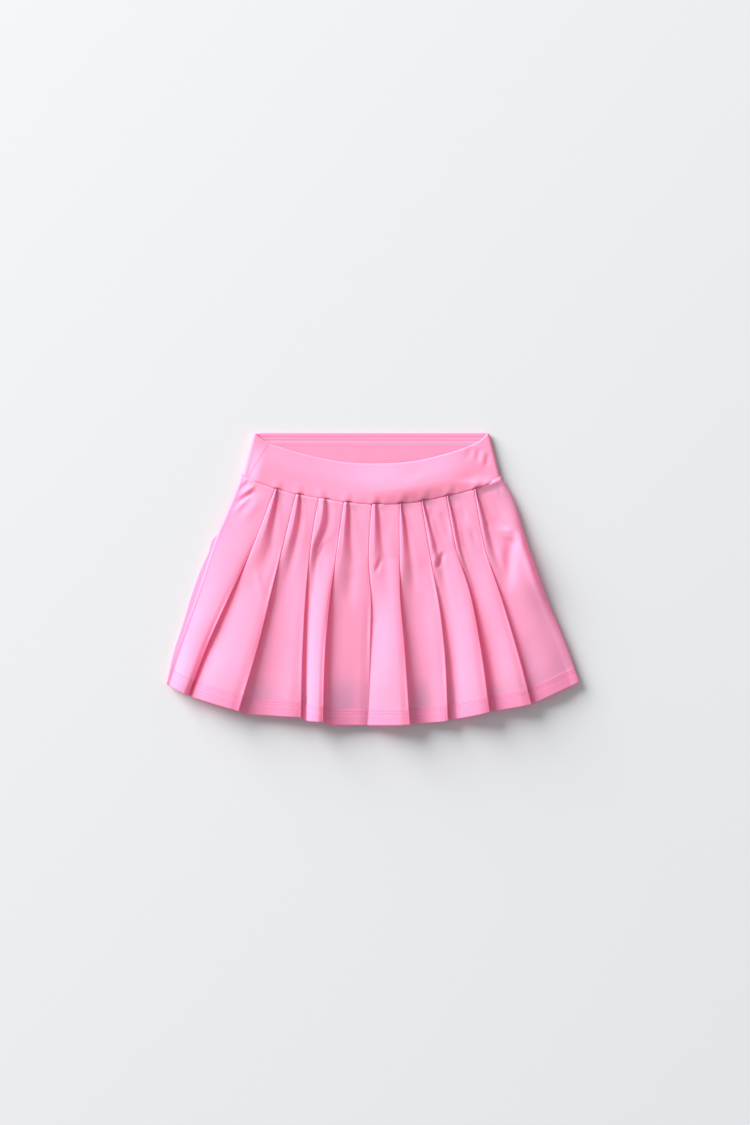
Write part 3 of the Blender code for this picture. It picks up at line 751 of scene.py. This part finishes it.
def band_front(across, share):
    """A point of the front waistband's middle: across runs from 0 at the left fold to 1 at the right."""
    (left, _), (right, _) = band_fold(0, share), band_fold(1, share)
    low_x, top_x = (mix(BAND_LEFT[end][0], BAND_RIGHT[end][0], across) for end in (0, 1))
    x = mix(left, right, across)
    y = mix(seam_y(low_x) + SEAM_GAP / 2, curve(TOP_EDGE, top_x), share)
    for line in FRONT_LINES[1:-1]:
        groove = line.path[0][0] + BAND_GROOVE[0] + BAND_GROOVE[1] * RIDGES[line.name].widths[0]
        y = y + BAND_LIFT[0] * bell(x - groove, BAND_LIFT[1]) * (1 - ease(share, -0.05, 0.12))
    low = front_base(x, seam_y(x)) + LAYER
    puff = BAND_PUFF * np.sin(np.pi * np.clip(share, 0, 1)) ** 0.6 * ease(1 - share, 0.0, 0.5)
    puff = puff + curve(BAND_SWELL, x) * ease(share, -0.1, 0.4) * (1 - 0.5 * share)
    z = mix(low, BAND_FOLD_Z[1], np.clip(share, 0, 1) ** 1.5) + puff
    right_rounding = mix(*BAND_ROUNDING, ease(share, 0.0, 0.35))
    edge = np.minimum((x - left) / BAND_ROUNDING[0], (right - x) / right_rounding)
    return x, y, mix(mix(*BAND_FOLD_Z, share), z, ease(edge, 0.0, 1.0))


def band_turn(side, turned, share):
    """A point of the waistband round a side fold: turned runs from 0 at the back to 1 at the front."""
    x, y = band_fold(side, share)
    outward = 1 if side else -1
    radius = band_fold_radius(share)
    angle = np.pi * turned - np.pi / 2
    return (x - outward * radius * (1 - np.cos(angle)), y + 0 * turned,
            BAND_WALL / 2 + radius + radius * np.sin(angle))


def band_middle(band, share):
    """The middle of a waistband all along, at one share of its height, from seam to seam."""
    left, right = band_fold(0, share)[0], band_fold(1, share)[0]
    left_seam, right_seam = mix(*LEFT_SEAM_IN, share), right - mix(*RIGHT_SEAM_IN, share)
    turned = np.linspace(0, 1, 14)[1:-1]
    if band.front:
        inner = right - band_fold_radius(share)
        ends = (left_seam + SEAM_GAP / 2) / (right - left), (inner - left) / (right - left)
        parts = (band_front(np.linspace(*ends, band.count), share), band_turn(1, turned[::-1], share),
                 band_back(np.linspace(inner, right_seam + SEAM_GAP / 2, 8), share))
    else:
        inner = left + band_fold_radius(share)
        ends = (inner - left) / (right - left), (left_seam - SEAM_GAP / 2) / (right - left)
        parts = (band_back(np.linspace(right_seam - SEAM_GAP / 2, inner, band.count), share),
                 band_turn(0, turned, share), band_front(np.linspace(*ends, 10), share))
    return np.concatenate([np.stack([a + 0 * part[0] for a in part], axis=1) for part in parts])


def band_profile(height):
    """Round the doubled band's section: shares of its height and offsets from its middle, from inside its
    lower edge up the inside, over the top fold and down the outside."""
    half = BAND_WALL / 2
    end = half / height
    up_inside = np.concatenate([np.linspace(end, 0.7, 10), np.linspace(0.71, 1 - end, 22)])
    over_top = np.linspace(-math.pi / 2, math.pi / 2, 9)[1:-1]
    down_outside = np.linspace(1 - end, BAND_EDGE_ROUND * end, 28)
    round_edge = np.linspace(math.pi / 2, -0.6, 8)[1:]
    return ([(share, -half) for share in up_inside]
            + [(1 - end + end * math.cos(a), half * math.sin(a)) for a in over_top]
            + [(share, half) for share in down_outside]
            + [(BAND_EDGE_ROUND * (end - end * math.cos(a)), half * math.sin(a)) for a in round_edge])


def across_band(middle):
    """The directions out of the garment along a line round the band."""
    along = np.gradient(middle, axis=0)
    outward = np.stack([-along[:, 2], 0 * along[:, 0], along[:, 0]], axis=1)
    return outward / np.linalg.norm(outward, axis=1, keepdims=True)


def band_cloth(band):
    """Rows of the band, each all along it."""
    rows = []
    for share, offset in band_profile(band.height):
        middle = band_middle(band, share)
        out = offset + band_relief(band, share, offset, middle)
        rows.append(middle + out[:, None] * across_band(middle))
    return np.array(rows)


def band_relief(band, share, offset, middle):
    """The band's swelling over each gathered ridge below it, and the sewn elastic channels inside."""
    relief = 0 * middle[:, 0]
    if band.front and offset > 0:
        for line in FRONT_LINES[1:-1]:
            beside = middle[:, 0] - line.path[0][0]
            relief += sum(height * bell(beside - place, width) for height, place, width in BAND_RIDGES)
        relief *= 1 - ease(share, 0.02, 0.3)
        for crease in BAND_CREASES:
            relief += crease_relief(middle[:, :2], crease)
        return relief * offset / (BAND_WALL / 2)
    if offset < 0:
        below = (1 - share) * band.height
        for depths, (height, width) in ((BAND_CHANNELS, CHANNEL_RELIEF), (BAND_NEEDLES, NEEDLE_RELIEF)):
            for depth in depths:
                relief = relief + height * bell(below - depth, width)
    return relief


def band_seams(band):
    """The twin-needle lines along the inside of a band, with the cloth's normals."""
    seams = []
    for needle in BAND_NEEDLES:
        middle = band_middle(band, 1 - needle / band.height)
        outward = across_band(middle)
        seams.append((middle - BAND_WALL / 2 * outward, -outward))
    return seams


def leg_cloth(side):
    """One leg of the shorts: the back from the inseam, round the side, and the front back to the inseam."""
    across, round_side, levels = LEG_FINENESS
    turns = [(out, -90) for out in np.linspace(0, 1, across)]
    turns += [(1.0, angle) for angle in np.linspace(-90, 90, round_side)[1:-1]]
    turns += [(out, 90) for out in np.linspace(1, 0, across)]
    out, turn = np.array(turns).T
    turn = np.radians(turn)
    front = (1 + np.sin(turn)) / 2
    rows = []
    for level in np.linspace(0, 1, levels):
        y = mix(mix(SHORTS_BACK_TOP_Y, LEG_HEM_Y, level),
                mix(mix(*SHORTS_FRONT_TOP_Y, out**2), LEG_HEM_Y, level), front)
        inner = SEAM_GAP / 2 + INSEAM_SLANT * np.maximum(0.0, CROTCH_Y - y)
        outer = curve(SHORTS_EDGE, y) - FOLD_RADIUS
        x = mix(inner, outer, out) + FOLD_RADIUS * np.cos(turn)
        rows.append(np.stack([side * x, y, mix(SHORTS_LOW, SHORTS_HIGH, front)], axis=1))
    return np.array(rows)


def make_sheet(name, rows, material, node):
    """A piece of open cloth through the rows, in place of the frame's node."""
    count = rows.shape[1]
    corner = np.arange((len(rows) - 1) * count).reshape(-1, count)[:, :-1].ravel()
    quads = np.stack([corner, corner + 1, corner + count + 1, corner + count], axis=1)
    mesh = bpy.data.meshes.new(name)
    mesh.from_pydata((rows.reshape(-1, 3) * MM).tolist(), [], quads.tolist())
    mesh.shade_smooth()
    return add_piece(name, mesh, material, node)


def double_the_hem(piece, rows, turning, material):
    """Gives the hem its own material where the cloth lies double: its turning, and as many rows over it. That
    material lets less light through, and its colour is darker than the rest: painted shade.
    """
    piece.data.materials.append(material)
    index = np.zeros(len(piece.data.polygons), np.int32)
    index[(len(rows) - 2 * turning) * (rows.shape[1] - 1):] = 1
    piece.data.polygons.foreach_set("material_index", index)


def add_piece(name, mesh, material, node=None):
    """Puts a mesh in the scene, on the frame's body."""
    mesh.materials.append(material)
    obj = bpy.data.objects.new(name, mesh)
    bpy.context.scene.collection.objects.link(obj)
    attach(obj, "root")
    if node:
        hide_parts(node)
    return obj


def along_run(run, rows, at):
    """The rows' values at distances along their run."""
    return np.array([np.interp(at, run, axis) for axis in rows.T]).T


def make_stitches(name, seams, material):
    """Short stitches of thread along seams, each seam given by its points and the cloth's normals."""
    corners, faces = [], []
    box = [(0, 1, 3, 2), (4, 6, 7, 5), (0, 4, 5, 1), (2, 3, 7, 6), (0, 2, 6, 4), (1, 5, 7, 3)]
    for points, normals in seams:
        run = np.concatenate([[0.0], np.cumsum(np.linalg.norm(np.diff(points, axis=0), axis=1))])
        starts = np.arange(STITCH_START, run[-1] - STITCH_LENGTH, STITCH_PITCH)
        ends = [along_run(run, points, starts + more) for more in (0, STITCH_LENGTH)]
        up = along_run(run, normals, starts)
        side = np.cross(ends[1] - ends[0], up)
        side *= STITCH_WIDTH / 2 / np.maximum(1e-9, np.linalg.norm(side, axis=1, keepdims=True))
        up = up * STITCH_WIDTH
        block = np.stack([end + across * side + lift * up for end in ends for across in (-1, 1)
                          for lift in STITCH_LIFT], axis=1)
        for stitch in block:
            first = len(corners)
            corners += (stitch * MM).tolist()
            faces += [tuple(first + corner for corner in face) for face in box]
    mesh = bpy.data.meshes.new(name)
    mesh.from_pydata(corners, [], faces)
    return add_piece(name, mesh, material)


def set_inputs(node, inputs):
    """Sets a shader node's inputs by name."""
    for name, value in inputs.items():
        node.inputs[name].default_value = value


def cloth_material(name, fabric):
    """Fine knitted cloth: a soft sheen, a stitch-sized relief and light coming through."""
    material = bpy.data.materials.new(name)
    material.use_nodes = True
    nodes = material.node_tree.nodes
    shader = nodes["Principled BSDF"]
    set_inputs(shader, {"Roughness": 0.85, "Specular IOR Level": 0.25, "Sheen Weight": 0.2,
                        "Sheen Roughness": 0.5})
    place = nodes.new("ShaderNodeTexCoord")
    cells = nodes.new("ShaderNodeTexVoronoi")
    set_inputs(cells, {"Scale": fabric.weave})
    patches = nodes.new("ShaderNodeTexNoise")
    set_inputs(patches, {"Scale": 60.0, "Detail": 4.0})
    tones = nodes.new("ShaderNodeMapRange")
    set_inputs(tones, {"To Min": 0.96, "To Max": 1.04})
    tint = nodes.new("ShaderNodeMix")
    tint.data_type = "RGBA"
    tint.blend_type = "MULTIPLY"
    set_inputs(tint, {"Factor": 1.0, "A": (*fabric.colour, 1.0)})
    bump = nodes.new("ShaderNodeBump")
    set_inputs(bump, {"Strength": 0.35, "Distance": 0.0002})
    through = nodes.new("ShaderNodeBsdfTranslucent")
    set_inputs(through, {"Color": (*fabric.glow, 1.0)})
    both = nodes.new("ShaderNodeMixShader")
    set_inputs(both, {"Fac": fabric.through})
    for source, output, target, entry in (
            (place, "Object", cells, "Vector"), (place, "Object", patches, "Vector"),
            (patches, "Fac", tones, "Value"), (tones, "Result", tint, "B"),
            (tint, "Result", shader, "Base Color"), (cells, "Distance", bump, "Height"),
            (bump, "Normal", shader, "Normal"), (shader, "BSDF", both, 1), (through, "BSDF", both, 2),
            (both, "Shader", nodes["Material Output"], "Surface")):
        material.node_tree.links.new(source.outputs[output], target.inputs[entry])
    return material


def add_lights():
    """A broad, low key light from the upper left, and an even studio round it."""
    key = bpy.data.lights.new("key", "AREA")
    key.shape = "DISK"
    key.size = KEY_SIZE
    key.energy = KEY_POWER
    obj = bpy.data.objects.new("key", key)
    toward = Vector(KEY_FROM).normalized()
    obj.location = toward * KEY_DISTANCE
    obj.rotation_euler = (-toward).to_track_quat("-Z", "Y").to_euler()
    bpy.context.scene.collection.objects.link(obj)
    world = bpy.data.worlds.new("world")
    world.use_nodes = True
    set_inputs(world.node_tree.nodes["Background"], {"Color": (*SKY_COLOUR, 1.0), "Strength": SKY_STRENGTH})
    bpy.context.scene.world = world
    bpy.context.scene.view_settings.view_transform = "Standard"


def add_floor():
    """A wide, pale floor, which the skort lies on."""
    mesh = bpy.data.meshes.new("floor")
    corners = [(x * FLOOR_REACH, y * FLOOR_REACH, 0) for x, y in ((-1, -1), (1, -1), (1, 1), (-1, 1))]
    mesh.from_pydata(corners, [], [(0, 1, 2, 3)])
    material = bpy.data.materials.new("floor")
    material.use_nodes = True
    set_inputs(material.node_tree.nodes["Principled BSDF"],
               {"Base Color": (*FLOOR_COLOUR, 1.0), "Roughness": 0.9})
    mesh.materials.append(material)
    floor = bpy.data.objects.new("floor", mesh)
    bpy.context.scene.collection.objects.link(floor)


def add_camera():
    """Straight down, with the photo's frame of 810 by 1215 mm."""
    camera = bpy.data.cameras.new("camera")
    camera.sensor_fit = "VERTICAL"
    camera.sensor_height = SENSOR
    camera.lens = SENSOR * CAMERA_HEIGHT / PHOTO_HEIGHT
    obj = bpy.data.objects.new("camera", camera)
    x, y, z = CAMERA_OVER
    obj.location = (x, y, CAMERA_HEIGHT + z)
    bpy.context.scene.collection.objects.link(obj)
    bpy.context.scene.camera = obj


def main():
    """The cloths with their sewing, and then the floor, the light and the camera."""
    fabric = {name: cloth_material(name, look) for name, look in FABRICS.items()}
    thread, knit, inner = fabric["thread"], fabric["band_cloth"], fabric["inner_cloth"]
    front_rows, front_turning, front_seams = front_cloth()
    front = make_sheet("skirt_front_cloth", front_rows, fabric["pink_cloth"], "skirt_front")
    back_rows, back_turning, back_seams = back_cloth()
    back = make_sheet("skirt_back_cloth", back_rows, fabric["pink_cloth"], "skirt_back")
    double_the_hem(front, front_rows, front_turning, fabric["hem_cloth_painted_shade"])
    double_the_hem(back, back_rows, back_turning, fabric["hem_cloth_painted_shade"])
    front_sewing = make_stitches("skirt_front_stitching", front_seams, thread)
    back_sewing = make_stitches("skirt_back_stitching", back_seams, thread)
    band_1 = make_sheet("waistband_front_cloth", band_cloth(FRONT_BAND), knit, "waistband_front")
    band_2 = make_sheet("waistband_back_cloth", band_cloth(BACK_BAND), knit, "waistband_back")
    band_sewing = [make_stitches(f"waistband_{name}_stitching", band_seams(band), thread)
                   for name, band in (("front", FRONT_BAND), ("back", BACK_BAND))]
    legs = [make_sheet(f"shorts_{name}_cloth", leg_cloth(side), inner, f"shorts_{name}")
            for name, side in (("left", -1), ("right", 1))]
    add_floor()
    add_lights()
    add_camera()


main()
